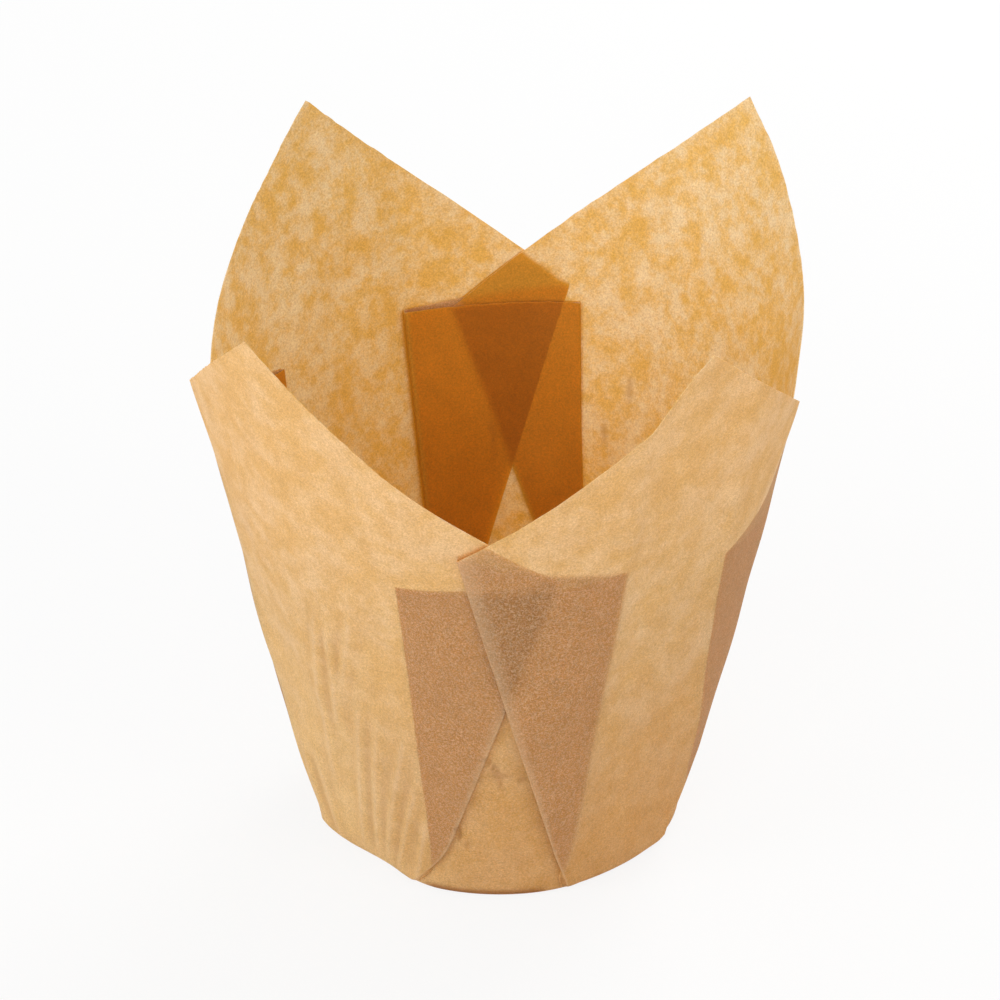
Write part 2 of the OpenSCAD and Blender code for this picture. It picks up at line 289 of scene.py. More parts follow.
class Fold:
    """Where every place of the square sheet lies once it is pressed into the cup.

    Unrolled, the cup's cone is flat, and a straight cut or fold is a straight line there. Points
    in the unrolled wall are complex numbers with the middle line of a petal or pleat upwards."""

    def __init__(self, sizes):
        self.s = sizes
        self.base_r = sizes.base_diameter / 2
        self.pitch = sizes.sheet_thickness + sizes.layer_gap
        self.crest = self.pitch / 2
        self.sin = math.sin(sizes.wall_angle)
        self.cos = math.cos(sizes.wall_angle)
        self.cone_foot = self.base_r / self.sin
        taken = self.base_r + sizes.bend_take
        self.panel_reach = sizes.sheet_side / 2 - taken
        self.petal_reach = sizes.sheet_side / math.sqrt(2) - taken
        self.foot_turn = [math.degrees(a) for a in sizes.panel_foot_turn]
        self.top_turn = [math.degrees(a) for a in sizes.panel_top_turn]
        self.petal_turn = [math.degrees(a) for a in sizes.petal_turn]
        self.petal_tilt = list(sizes.petal_tilt)
        self.sweep = [math.degrees(a) for a in sizes.left_foot_sweep]

    def petal_at(self, p):
        return 90 * (p + 0.5) + self.petal_turn[p % 4]

    def unrolled(self, angle, slant, middle):
        turn = np.radians(wrap(angle - middle) * self.sin)
        return (self.cone_foot + slant) * (np.sin(turn) + 1j * np.cos(turn))

    def rolled(self, point, middle):
        angle = middle + np.degrees(np.arctan2(np.real(point), np.imag(point))) / self.sin
        return angle, np.abs(point) - self.cone_foot

    # the wall

    def radius(self, angle, slant):
        s = self.s
        off = [wrap(angle - self.petal_at(k)) for k in PLEATS]
        lean = sum(s.petal_lean[k] * hump(off[k], LEAN_HALF_ANGLE) for k in PLEATS)
        flat = sum(s.base_flat[k] * hump(off[k], FLAT_HALF_ANGLE) for k in PLEATS)
        return (
            self.base_r
            + slant * self.sin
            + s.wall_flare * (slant / self.panel_reach) ** 2
            + lean * (slant / LEAN_HEIGHT) ** 2
            - flat * (1 - clamp01(slant / FLAT_REACH)) ** 2
        )

    def wall_point(self, angle, slant, layers, relief=0.0):
        out = layers * self.pitch + relief
        r = self.radius(angle, slant) + out * self.cos
        z = self.s.sheet_thickness / 2 + slant * self.cos - out * self.sin
        a = np.radians(angle)
        return np.stack([r * np.sin(a), -r * np.cos(a), z + 0 * r], -1)

    # places of the folds: side is -1 for the left and 1 for the right fold of pleat k

    def foot(self, k, side):
        half = math.degrees(math.asin(self.s.panel_foot_width[k] / self.s.base_diameter))
        return 90 * k + self.foot_turn[k] + side * half

    def inner_top(self, k, side):
        point = side * self.s.panel_top_width[k] / 2 + 1j * (
            self.cone_foot + self.panel_reach + self.s.panel_rise[k] + side * self.s.panel_tilt[k]
        )
        return self.rolled(point, 90 * k + self.top_turn[k])

    def petal_of(self, k, side):
        return k if side > 0 else (k + 3) % 4

    def corner(self, p):
        return 1j * (self.cone_foot + self.petal_reach + self.s.petal_rise[p])

    def edge_way(self, p, side):
        turn = math.radians(45) + side * self.petal_tilt[p]
        return side * math.sin(turn) - 1j * math.cos(turn)

    def outer_top(self, k, side):
        p = self.petal_of(k, side)
        half = (self.s.sheet_side - self.s.panel_top_width[k]) / 2 - side * self.s.panel_shift[k]
        gap = self.corner(p) - self.unrolled(*self.inner_top(k, side), self.petal_at(p))
        way = self.edge_way(p, -side)
        run = (half**2 - abs(gap) ** 2) / (2 * (dot(way, gap) + half))
        return self.corner(p) + run * way

    def settle_top(self, k, side):
        p = self.petal_of(k, side)
        foot = self.unrolled(self.foot(k, side), 0, self.petal_at(p))
        line = self.unrolled(*self.inner_top(k, side), self.petal_at(p)) - foot
        way = self.edge_way(p, -side)
        gap = self.corner(p) - foot
        return self.corner(p) + cross(line, gap) / cross(way, line) * way

    # heights in layers, and how far a fold has opened

    def climb(self, k, side, slant):
        over = side == self.s.petal_over[k]
        return over * 2 * clamp01((slant - CLIMB_FROM) / (CLIMB_TO - CLIMB_FROM))

    def back_start(self, k, side):
        return (self.s.left_back_start if side < 0 else self.s.right_back_start)[k]

    def opened(self, k, side, slant):
        return clamp01((slant - self.back_start(k, side)) / CREST_RISE)

    def creased(self, k, side, slant):
        return 1 - clamp01((slant - self.back_start(k, side)) / CREASE_RISE)

    def raised(self, slant):
        return clamp01(slant / self.s.fold_start)

    def swept(self, k, side, slant):
        """Turn of a fold's lines near its foot."""
        return 0 * slant if side > 0 else -self.sweep[k] * (1 - clamp01(slant / SWEEP_REACH)) ** 2

    # lines from the base's edge up to the cut edge

    def steps(self, reach):
        near = np.array(NEAR_STEPS) * MM
        far = near[-1] + (reach - near[-1]) * (np.arange(1, WALL_STEPS + 1) / WALL_STEPS) ** STEP_GROWTH
        return np.concatenate([near, far])

    def pull(self, k, side, reach, slant):
        """How far up a line has gone on the fold's way, before the fold-back opens."""
        start = self.back_start(k, side)
        return np.minimum(slant, start * np.maximum(0, reach - slant) / (reach - start))

    def pull_way(self, k, side, top, middle):
        foot = self.unrolled(self.foot(k, side), 0, middle)
        outer = self.rolled(self.outer_top(k, side), self.petal_at(self.petal_of(k, side)))
        outer = self.unrolled(*outer, middle)
        return unit(outer - foot) - unit(top - foot)

    def inner_reach(self, k, side):
        foot = self.unrolled(self.foot(k, side), 0, 90 * k)
        return abs(self.unrolled(*self.inner_top(k, side), 90 * k) - foot)

    def line(self, foot, top, middle, pulls):
        """A line's places, each pulled by (pleat, side, reach of the pull, way)."""
        slant = self.steps(abs(top - foot))
        spots = foot + slant * unit(top - foot)
        for k, side, reach, way in pulls:
            spots = spots + self.pull(k, side, reach, slant) * way
        return slant, self.rolled(spots, middle)

    def fold_line(self, k, side, share, layer, ramp, on_petal, crest, place):
        p = self.petal_of(k, side)
        middle = self.petal_at(p)
        foot = self.unrolled(self.foot(k, side), 0, middle)
        inner = self.unrolled(*self.inner_top(k, side), middle)
        at_inner = self.settle_top(k, side) if on_petal else inner
        top = at_inner + (self.outer_top(k, side) - at_inner) * share
        way = self.pull_way(k, side, top, middle)
        pulled = abs(inner + (self.outer_top(k, side) - inner) * share - foot)
        slant, (angle, slant_here) = self.line(foot, top, middle, [(k, side, pulled, way)])
        crease = self.creased(k, side, slant)
        over = self.climb(k, side, slant) * min(1, layer)
        height = (layer + ramp * crease + over) * self.raised(slant)
        shift = self.crest * crest * self.opened(k, side, slant) + place * CREASE_SPREAD * crease
        return angle + self.swept(k, side, slant), slant_here, height, -side * shift

    def crease_shift(self, left, right, share, slant):
        """A panel and a petal make room for the creases of the folds on both sides of them."""
        from_left = (1 - share) * self.creased(*left, slant)
        from_right = share * self.creased(*right, slant)
        return CREASE_SPREAD * (from_left - from_right)

    def panel_line(self, k, share):
        left, right = (k, LEFT_SIDE), (k, RIGHT_SIDE)
        middle = 90 * k
        feet = [self.foot(*left), self.foot(*right)]
        tops = [self.unrolled(*self.inner_top(*fold), middle) for fold in (left, right)]
        foot = self.unrolled(feet[0] + (feet[1] - feet[0]) * share, 0, middle)
        top = tops[0] + (tops[1] - tops[0]) * share
        ways = [self.pull_way(*fold, top, middle) for fold, top in zip((left, right), tops)]
        pulls = [
            (*left, self.inner_reach(*left), (1 - share) * ways[0]),
            (*right, self.inner_reach(*right), share * ways[1]),
        ]
        slant, (angle, slant_here) = self.line(foot, top, middle, pulls)
        angle = angle + (1 - share) * self.swept(*left, slant)
        return angle, slant_here, 0 * slant, self.crease_shift(left, right, share, slant)

    def petal_line(self, p, share, keeps):
        left, right = (p, RIGHT_SIDE), ((p + 1) % 4, LEFT_SIDE)
        middle = self.petal_at(p)
        feet = [wrap(self.foot(*fold) - middle) for fold in (left, right)]
        settles = [self.settle_top(*fold) for fold in (left, right)]
        foot = self.unrolled(middle + feet[0] + (feet[1] - feet[0]) * share, 0, middle)
        corner = self.corner(p)
        if share < 0.5:
            fold, top = left, settles[0] + (corner - settles[0]) * 2 * share
        else:
            fold, top = right, corner + (settles[1] - corner) * (2 * share - 1)
        ways = [self.pull_way(*fold, settle, middle) for fold, settle in zip((left, right), settles)]
        pulls = [
            (*left, self.inner_reach(*left), (1 - share) ** PULL_FADE * ways[0]),
            (*right, self.inner_reach(*right), share**PULL_FADE * ways[1]),
        ]
        slant, (angle, slant_here) = self.line(foot, top, middle, pulls)
        lift = keeps * (2 + self.climb(*fold, slant)) * self.raised(slant)
        angle = angle + share * self.swept(*right, slant)
        return angle, slant_here, lift, self.crease_shift(left, right, share, slant)


def fold_profile():
    """The lines of one fold, from the petal across to the outer crest, back under it and round the
    inner crest: the share of the way out, the layer, the climb over the crease, whether the line
    ends on the petal's cut edge, and the shift round a crest."""
    lines = [(i / FOLD_STRIPS, 2, 0, 1, 0) for i in range(FOLD_STRIPS + 1)]
    for i in range(1, CREST_STRIPS):
        turn = math.pi * (0.5 - i / CREST_STRIPS)
        height = 0.5 * math.sin(turn)
        lines.append((1, 1.5 + height, 0.25 - 0.5 * height, 0, math.cos(turn)))
    for i in range(FOLD_STRIPS + 1):
        share = 1 - i / FOLD_STRIPS
        lines.append((share, 1, share - 0.5, 0, 0))
    for i in range(1, CREST_STRIPS):
        turn = math.pi * (0.5 - i / CREST_STRIPS)
        height = 0.5 * math.sin(turn)
        lines.append((0, 0.5 + height, -0.25 + 0.5 * height, 0, -math.cos(turn)))
    return lines


def wall_lines(fold):
    """Every line round the cup: its angles, slant heights, layers and shifts, and its pleat, its part
    and its number in that part."""
    profile = fold_profile()
    found = []
    for k in PLEATS:
        for i, line in enumerate(profile):
            line = fold.fold_line(k, LEFT_SIDE, *line, 2 * i / len(profile) - 1)
            found.append((line, k, "left", i))
        for i in range(PANEL_STRIPS[k] + 1):
            found.append((fold.panel_line(k, i / PANEL_STRIPS[k]), k, "panel", i))
        for i in reversed(range(len(profile))):
            line = fold.fold_line(k, RIGHT_SIDE, *profile[i], 2 * i / len(profile) - 1)
            found.append((line, k, "right", i))
        for i in range(1, PETAL_STRIPS[k]):
            share = i / PETAL_STRIPS[k]
            keeps = np.interp(min(share, 1 - share), *zip(*SETTLE_SHARES))
            pleat = k if share < 0.5 else (k + 1) % 4
            found.append((fold.petal_line(k, share, keeps), pleat, "petal", i))
    lines, pleats, parts, numbers = zip(*found)
    return np.array(lines), np.array(pleats), np.array(parts), np.array(numbers)


def relief(fold, angle, slant):
    """Ridges, creases and waves that all layers of the wall follow, and the light and shade painted on them:
    a highlight on each ridge with shade at its sides, and shade in each crease.
    """
    out, painted_relief_shade = 0 * angle, 0 * angle
    for from_angle, from_slant, to_angle, to_slant, height, half in RIDGES + CREASES:
        ends = [
            complex(math.radians(a - from_angle) * (fold.base_r + h * MM * fold.sin), h * MM)
            for a, h in ((from_angle, from_slant), (to_angle, to_slant))
        ]
        way = ends[1] - ends[0]
        across = np.radians(wrap(angle - from_angle)) * (fold.base_r + slant * fold.sin)
        here = across + 1j * slant - ends[0]
        share = dot(here, way) / abs(way) ** 2
        off = cross(way, here) / abs(way)
        ends_fade = smooth01(share / START_FADE) * smooth01((1 - share) / END_FADE)
        near = ends_fade * np.exp(-((off / (half * MM)) ** 2))
        valley = ends_fade * np.exp(-((off / (VALLEY_WIDTH * half * MM)) ** 2))
        out = out + height * MM * near
        # a ridge gets a painted highlight with painted shade at both sides, a crease painted shade
        painted_relief_shade = painted_relief_shade + (near - VALLEY_SHARE * valley if height > 0 else -near)
    chance = np.random.default_rng(WAVE_SEED)
    for i in range(WAVES):
        turns, rise = chance.integers(*WAVE_TURNS), chance.uniform(-WAVE_RISE, WAVE_RISE)
        phase = chance.uniform(0, 2 * math.pi)
        out = out + WAVE_HEIGHT * MM * np.sin(turns * np.radians(angle) + rise * slant / MM + phase)
    return out * smooth01(slant / RELIEF_RISE), painted_relief_shade


def paper_middle(fold, lines):
    """The middle of the paper, ring by ring from the middle of the base up to the cut edge, with the wall's
    angles, slant heights and the light and shade painted on its relief."""
    angle, slant, layers, shift = (lines[:, i, :].T.copy() for i in range(4))
    uneven = np.random.default_rng(EDGE_SEED).uniform(-1, 1, slant.shape[1])
    slant[-1] += EDGE_ROUGHNESS * MM * uneven
    turned = angle + np.degrees(shift / fold.radius(angle, slant))
    pressed, painted_relief_shade = relief(fold, turned, slant)
    wall = fold.wall_point(turned, slant, layers, pressed)
    foot_angle = angle[0] + np.degrees(shift[0] / fold.radius(angle[0], 0 * angle[0]))
    foot = fold.wall_point(foot_angle, 0 * foot_angle, 0 * foot_angle)
    r = np.hypot(foot[:, 0], foot[:, 1])
    bend, z = fold.s.bend_radius, fold.s.sheet_thickness / 2

    def ring(scale, height):
        return np.stack([foot[:, 0] * scale, foot[:, 1] * scale, 0 * r + height], -1)

    rings = [ring(share * (r - bend) / r, z) for share in BASE_RINGS]
    for turn in BEND_ANGLES:
        t = math.radians(turn)
        rings.append(ring((r - bend * (1 - math.sin(t))) / r, z + bend * (1 - math.cos(t))))
    return np.concatenate([np.array(rings), wall]), turned, slant, painted_relief_shade


def layer_distances(fold, lines, pleats, parts, numbers, turned):
    """How far, in millimetres, each place lies inside each edge of the layers behind or before it."""
    count, rows = lines.shape[0], lines.shape[2]
    found = {name: np.zeros((rows, count)) for name in LAYER_EDGES}
    slants = lines[:, 1, :].T
    last_crest = FOLD_STRIPS + CREST_STRIPS // 2
    inner_crest = 2 * (FOLD_STRIPS + 1) + CREST_STRIPS - 1 + (CREST_STRIPS - 1) // 2
    for k in PLEATS:
        mine = np.where(pleats == k)[0]
        here = wrap(turned[:, mine] - 90 * k)
        slant = slants[:, mine]
        r = fold.radius(turned[:, mine], slant)

        def column(part, index):
            return np.where((pleats == k) & (parts == part) & (numbers == index))[0][0]

        def across(part, index):
            """Distance to the right of a line that runs up the wall."""
            j = column(part, index)
            line = np.interp(slant, slants[:, j], wrap(turned[:, j] - 90 * k))
            return np.radians(here - line) * r / MM

        def below(columns):
            """Distance below a cut edge."""
            a, s = wrap(turned[-1, columns] - 90 * k), slants[-1, columns]
            order = np.argsort(a)
            return (np.interp(here, a[order], s[order]) - slant) / MM

        found["left_inner"][:, mine] = across("left", inner_crest)
        found["right_inner"][:, mine] = -across("right", inner_crest) - HIDDEN_SHADE_INSET[k]
        found["left_outer"][:, mine] = -across("left", last_crest)
        found["right_outer"][:, mine] = across("right", last_crest)
        found["panel_top"][:, mine] = below([column("panel", i) for i in range(PANEL_STRIPS[k] + 1)])
        backs = range(FOLD_STRIPS + CREST_STRIPS, 2 * FOLD_STRIPS + CREST_STRIPS + 1)
        found["left_back_top"][:, mine] = below([column("left", i) for i in backs])
        found["right_back_top"][:, mine] = below([column("right", i) for i in backs])
        fronts = range(FOLD_STRIPS + 1)
        before = np.where((pleats == k) & (parts == "petal") & (numbers > PETAL_STRIPS[k - 1] / 2))[0]
        after = np.where((pleats == k) & (parts == "petal") & (numbers < PETAL_STRIPS[k] / 2))[0]
        found["left_cut"][:, mine] = below([*before, *[column("left", i) for i in fronts]])
        found["right_cut"][:, mine] = below([*[column("right", i) for i in fronts], *after])
    return found


def corner_line(parts, numbers, p):
    """The number of the line that runs up to a petal's corner."""
    starts = np.where((parts == "petal") & (numbers == 1))[0]
    return starts[p] + PETAL_STRIPS[p] // 2 - 1


def flat_places(fold, lines, pleats, parts, numbers):
    """Where each line's top lies on the flat sheet's edge, in metres from its middle."""
    side = fold.s.sheet_side
    count = lines.shape[0]
    top = fold.wall_point(lines[:, 0, -1], lines[:, 1, -1], lines[:, 2, -1])
    steps = np.linalg.norm(np.roll(top, -1, 0) - top, axis=1)
    corners = [corner_line(parts, numbers, k) for k in PLEATS]
    run = np.concatenate([[0], np.cumsum(steps)])
    total = run[-1]
    along = np.zeros(count)
    for k in PLEATS:
        first, last = corners[(k + 3) % 4], corners[k]
        start, end = run[first], run[last]
        members = np.arange(first, last + 1) if last > first else np.arange(first, last + 1 + count)
        if last < first:
            end += total
        for j in members:
            here = run[j % count] + (total if j >= count else 0)
            along[j % count] = k + (here - start) / (end - start)
    along %= 4
    # once round the square's edge, from its front left corner
    k, share = np.floor(along), along % 1
    ends = np.array([[-1, -1], [1, -1], [1, 1], [-1, 1]]) * side / 2
    first, after = ends[k.astype(int)], ends[(k.astype(int) + 1) % 4]
    return first + (after - first) * share[:, None]


def flat_uv(fold, lines, pleats, parts, numbers, places, wall_start):
    """Each point's place on the flat sheet, with the sheet's side as 1."""
    tops = flat_places(fold, lines, pleats, parts, numbers)
    feet = places[wall_start - 1, :, :2]
    feet = feet / np.linalg.norm(feet, axis=1)[:, None] * fold.base_r
    up = np.array([s / s[-1] for s in lines[:, 1, :]]).T
    flat = np.concatenate(
        [
            np.array([feet * share for share in BASE_RINGS]) * FLAT_SHARE,
            np.array([feet * (FLAT_SHARE + BEND_SHARE * t / 90) for t in BEND_ANGLES]),
            feet + (tops - feet) * up[:, :, None],
        ]
    )
    return flat / fold.s.sheet_side + 0.5


def paper_masks(parts, numbers, wall_start, turned, slant, painted_relief_shade):
    """What each point of the sheet tells the paper's shader, apart from its layers: the light and shade
    painted on the relief, the fold crests that get a painted highlight, the painted shadow along the base's
    edge, the petals' middles and the inner side.
    """
    rows, count = turned.shape
    marks, crest, rim, near_pleat, inside = np.zeros((5, wall_start + rows, count))
    marks[wall_start:] = painted_relief_shade
    # the fold crests, which get a painted highlight
    crest_line = np.isin(parts, ("left", "right")) & (np.abs(numbers - FOLD_STRIPS - 1) < 2)
    crest[wall_start:, crest_line] = 1
    near_rim = smooth01((RIM_HALF - np.abs(turned - RIM_MIDDLE)) / RIM_FADE)
    # a painted shadow on the bend and the wall's foot under the front pleat
    rim[wall_start:] = near_rim * (1 - smooth01((slant / MM - RIM_HEIGHT) / RIM_SOFTNESS))
    rim[wall_start - len(BEND_ANGLES) : wall_start] = near_rim[0]
    # a petal's middle, where one pleat's lines give way to the next one's, is a single layer
    near_pleat += 1
    for p in PLEATS:
        middle = corner_line(parts, numbers, p)
        near_pleat[:, middle - 2 : middle + 3] = 0
    return {"near_pleat": near_pleat, "crest": crest, "marks": marks, "rim": rim, "inside": inside}


def keep(mesh, name, values):
    """Store a value for each point of the sheet's grid, whose last column lies on the first."""
    whole = np.concatenate([values, values[:, :1]], 1)
    kept = mesh.attributes.new(name, "FLOAT", "POINT")
    kept.data.foreach_set("value", whole.reshape(-1).astype(np.float32))


def deselect():
    for o in bpy.context.view_layer.objects:
        o.select_set(False)


def active(o):
    deselect()
    o.select_set(True)
    bpy.context.view_layer.objects.active = o


class LINER_OT_fold(bpy.types.Operator):
    """Fold a flat sheet of baking paper into the liner"""

    bl_idname = "liner.fold"
    bl_label = "Fold the Sheet"

    def execute(self, context):
        sizes = context.scene.liner_sizes
        fold = Fold(sizes)
        lines, pleats, parts, numbers = wall_lines(fold)
        places, turned, slant, painted_relief_shade = paper_middle(fold, lines)
        rings, count = places.shape[:2]
        wall_start = len(BASE_RINGS) + len(BEND_ANGLES)

        deselect()
        bpy.ops.mesh.primitive_grid_add(
            x_subdivisions=count, y_subdivisions=rings - 1, size=sizes.sheet_side
        )
        sheet = context.active_object
        sheet.name = sheet.data.name = "liner_paper"
        mesh = sheet.data
        if len(mesh.vertices) != (count + 1) * rings:
            raise RuntimeError("the flat grid has other rows than the folded sheet")
        # the grid's columns run round the cup, the last on the first, and its rows up the wall
        closed = np.concatenate([places, places[:, :1]], 1)
        mesh.vertices.foreach_set("co", closed.reshape(-1).astype(np.float32))

        flat = flat_uv(fold, lines, pleats, parts, numbers, places, wall_start)
        flat = np.concatenate([flat, flat[:, :1]], 1)
        corners = np.zeros(len(mesh.loops), np.int32)
        mesh.loops.foreach_get("vertex_index", corners)
        layer = mesh.uv_layers[0] if mesh.uv_layers else mesh.uv_layers.new()
        layer.name = "flat_sheet"
        layer.data.foreach_set("uv", flat.reshape(-1, 2)[corners].reshape(-1).astype(np.float32))

        distances = layer_distances(fold, lines, pleats, parts, numbers, turned)
        for name, values in distances.items():
            whole = np.full((rings, count), OUTSIDE_ALL)
            whole[wall_start:] = values
            keep(mesh, name, whole)
        for name, values in paper_masks(parts, numbers, wall_start, turned, slant, painted_relief_shade).items():
            keep(mesh, name, values)

        active(sheet)
        bpy.ops.object.mode_set(mode="EDIT")
        bpy.ops.mesh.select_all(action="SELECT")
        bpy.ops.mesh.remove_doubles(threshold=MERGE_DISTANCE)
        bpy.ops.mesh.normals_make_consistent(inside=False)
        bpy.ops.object.mode_set(mode="OBJECT")
        # the points that the thickness adds are the inner side's
        outer = len(mesh.vertices)
        thick = sheet.modifiers.new("Paper thickness", "SOLIDIFY")
        thick.thickness = sizes.sheet_thickness
        thick.offset = 0
        thick.use_even_offset = False
        bpy.ops.object.modifier_apply(modifier=thick.name)
        mesh = sheet.data
        inside = np.zeros(len(mesh.vertices), np.float32)
        inside[outer:] = 1
        mesh.attributes["inside"].data.foreach_set("value", inside)
        bpy.ops.object.shade_smooth_by_angle(angle=math.radians(SMOOTH_ANGLE))
        sheet.location = (0, 0, 0)
        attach(sheet, "root")
        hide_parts("liner")
        return {"FINISHED"}


class Value:
    """A number in a shader, with which an expression adds its Math nodes."""

    def __init__(self, shader, socket):
        self.shader, self.socket = shader, socket

    def made(self, operation, *inputs):
        node = self.shader.node("ShaderNodeMath", {"operation": operation}, dict(enumerate(inputs)))
        return Value(self.shader, node.outputs[0])

    def __add__(self, other):
        return self.made("ADD", self, other)

    __radd__ = __add__

    def __sub__(self, other):
        return self.made("SUBTRACT", self, other)

    def __rsub__(self, other):
        return self.made("SUBTRACT", other, self)

    def __mul__(self, other):
        return self.made("MULTIPLY", self, other)

    __rmul__ = __mul__

    def __truediv__(self, other):
        return self.made("DIVIDE", self, other)

    def __rtruediv__(self, other):
        return self.made("DIVIDE", other, self)

    def most(self, other):
        """The larger of the two."""
        return self.made("MAXIMUM", self, other)

    def smooth(self, low, high):
        """0 at low, 1 at high and smooth between."""
        node = self.shader.node(
            "ShaderNodeMapRange",
            {"interpolation_type": "SMOOTHSTEP"},
            {"Value": self, "From Min": low, "From Max": high, "To Min": 0.0, "To Max": 1.0},
        )
        return Value(self.shader, node.outputs["Result"])


class Shader:
    """Makes the nodes of one material."""

    def __init__(self, material):
        material.use_nodes = True
        self.tree = material.node_tree
        self.tree.nodes.clear()

    def node(self, kind, settings=None, inputs=None):
        node = self.tree.nodes.new(kind)
        for name, value in (settings or {}).items():
            if name == "stops":
                ramp = node.color_ramp
                while len(ramp.elements) > 1:
                    ramp.elements.remove(ramp.elements[-1])
                for i, (place, colour) in enumerate(value):
                    stop = ramp.elements[0] if i == 0 else ramp.elements.new(place)
                    stop.position, stop.color = place, colour
            else:
                setattr(node, name, value)
        for name, value in (inputs or {}).items():
            socket = node.inputs[name]
            if isinstance(value, Value):
                value = value.socket
            if isinstance(value, bpy.types.NodeSocket):
                self.tree.links.new(value, socket)
            else:
                socket.default_value = value
        return node

    def attribute(self, name):
        return Value(self, self.node("ShaderNodeAttribute", {"attribute_name": name}).outputs["Fac"])

    def ramp(self, value, stops):
        return self.node("ShaderNodeValToRGB", {"stops": stops}, {0: value}).outputs[0]

    def turned(self, place, turn, scale):
        settings = {"vector_type": "TEXTURE"}
        inputs = {"Vector": place, "Rotation": [math.radians(a) for a in turn], "Scale": scale}
        return self.node("ShaderNodeMapping", settings, inputs).outputs[0]

    def noise(self, place, size, detail, roughness):
        inputs = {"Vector": place, "Scale": 1 / size, "Detail": detail, "Roughness": roughness}
        return Value(self, self.node("ShaderNodeTexNoise", None, inputs).outputs[0])

    def mixed(self, factor, first, second, blend="MIX"):
        node = self.node(
            "ShaderNodeMix", {"data_type": "RGBA", "blend_type": blend}, {0: factor, 6: first, 7: second}
        )
        return node.outputs[2]


def srgb(red, green, blue):
    """A colour as a picture editor shows it, 0 to 255, as the shader takes it."""
    out = []
    for c in (red, green, blue):
        c /= 255
        out.append(c / 12.92 if c <= 0.04045 else ((c + 0.055) / 1.055) ** 2.4)
    return (*out, 1)


# Colours by the number of layers of paper, as shares of five, painted as light through the paper: outside,
# more layers are painted darker as the shade of less light coming through, and inside, the paper is painted
# as a golden glow of light from behind, a deeper orange under more layers
OUTSIDE_SHADE_BY_LAYERS = (
    (0.2, srgb(224, 195, 130)),
    (0.4, srgb(203, 160, 98)),
    (0.6, srgb(201, 151, 88)),
    (1.0, srgb(185, 134, 76)),
)
INSIDE_GLOW_BY_LAYERS = (
    (0.2, srgb(240, 211, 118)),
    (0.4, srgb(222, 170, 62)),
    (0.6, srgb(228, 152, 44)),
    (1.0, srgb(192, 118, 32)),
)
# The pale colour also paints the highlight on the ridges, and the fibres' colour a highlight along the fold
# crests
CREAM, PALE_AND_RIDGE_HIGHLIGHT, FIBRE_AND_CREST_HIGHLIGHT = srgb(246, 252, 222), srgb(255, 250, 232), srgb(251, 232, 194)
# The next two colours are painted light low down on the outside: a darker, warmer shade at the front and
# right, and a lighter tone at the left
LOW_PAINTED_SHADE, LOW_PAINTED_LIGHT = srgb(206, 149, 68), srgb(255, 222, 152)
# The first of the next two colours is painted shade, for the creases and for the shadow along the base's
# edge
CREASE_AND_RIM_SHADE, THROUGH = srgb(146, 92, 46), srgb(241, 195, 94)
# How far each of these colours is mixed in, the painted light and shade among them, and where two petals
# cross, how much lighter the painted shade of the layers is
CREAM_SHARE, PALE_SHARE, LOW_PAINTED_SHARE = 0.9, 0.3, 0.6
FIBRE_SHARE, FIBRE_SINGLE_LESS, FIBRE_INSIDE = 0.4, 0.14, 0.2
CREST_HIGHLIGHT_SHARE, RIDGE_HIGHLIGHT_SHARE, CREASE_SHADE_SHARE, RIM_SHADOW_SHARE = 0.25, 0.28, 0.34, 0.8
CROSSED_SHARE = 0.02
# Between which values of their noise the clouds, the mottle and the fibres fade in, and between
# which shares of five layers a single layer fades out
CREAM_FROM, MOTTLE_FROM, FIBRE_FROM, SINGLE_FROM = (0.37, 0.65), (0.38, 0.66), (0.56, 0.68), (0.22, 0.4)
# Half widths in mm over which the crisp and the soft edges of layers and a panel's top edge fade
CRISP, SOFT, TOP_SOFT = 0.12, 0.9, 0.3
# Heights between which the painted shade and light low down fade out, and where they change from left to
# right
LOW_FROM, RIGHT_FROM, RIGHT_SLOPE = (0.06, 0.004), (-0.012, 0.02), 0.6
GRAIN_TONE, CLOUD_TONE = 1.3, 0.3
# Heights of the grain, the fibres and the clouds, and the bump's strength and depth in metres
GRAIN_HEIGHT, FIBRE_HEIGHT, CLOUD_HEIGHT = 0.6, 0.3, 0.5
BUMP_STRENGTH, BUMP_DEPTH = 0.35, 0.00005
# Turns of the directions in which the fibres lie
FIBRE_TURNS = ((0, 20, 0), (10, -40, 0), (-15, 75, 0), (80, 0, 20))


def paper_layers(sh):
    """The layers of paper at each place as a share of five, and where two petals cross."""
    d = {name: sh.attribute(name) for name in LAYER_EDGES}
    left_in = d["left_inner"].smooth(-CRISP, CRISP)
    right_in = d["right_inner"].smooth(-SOFT, SOFT)
    left_on = d["left_outer"].smooth(-SOFT, SOFT)
    right_on = d["right_outer"].smooth(-CRISP, CRISP)
    panel = left_in * right_in * d["panel_top"].smooth(-TOP_SOFT, TOP_SOFT)
    left_back = left_in * left_on * d["left_back_top"].smooth(-CRISP, CRISP)
    right_back = right_in * right_on * d["right_back_top"].smooth(-SOFT, SOFT)
    left_petal = left_on * d["left_cut"].smooth(-CRISP, CRISP)
    right_petal = right_on * d["right_cut"].smooth(-SOFT, SOFT)
    layers = panel + left_back + right_back + left_petal + right_petal
    layers = (1 + (layers.most(1.0) - 1) * sh.attribute("near_pleat")) / MOST_LAYERS
    return layers, left_petal * right_petal


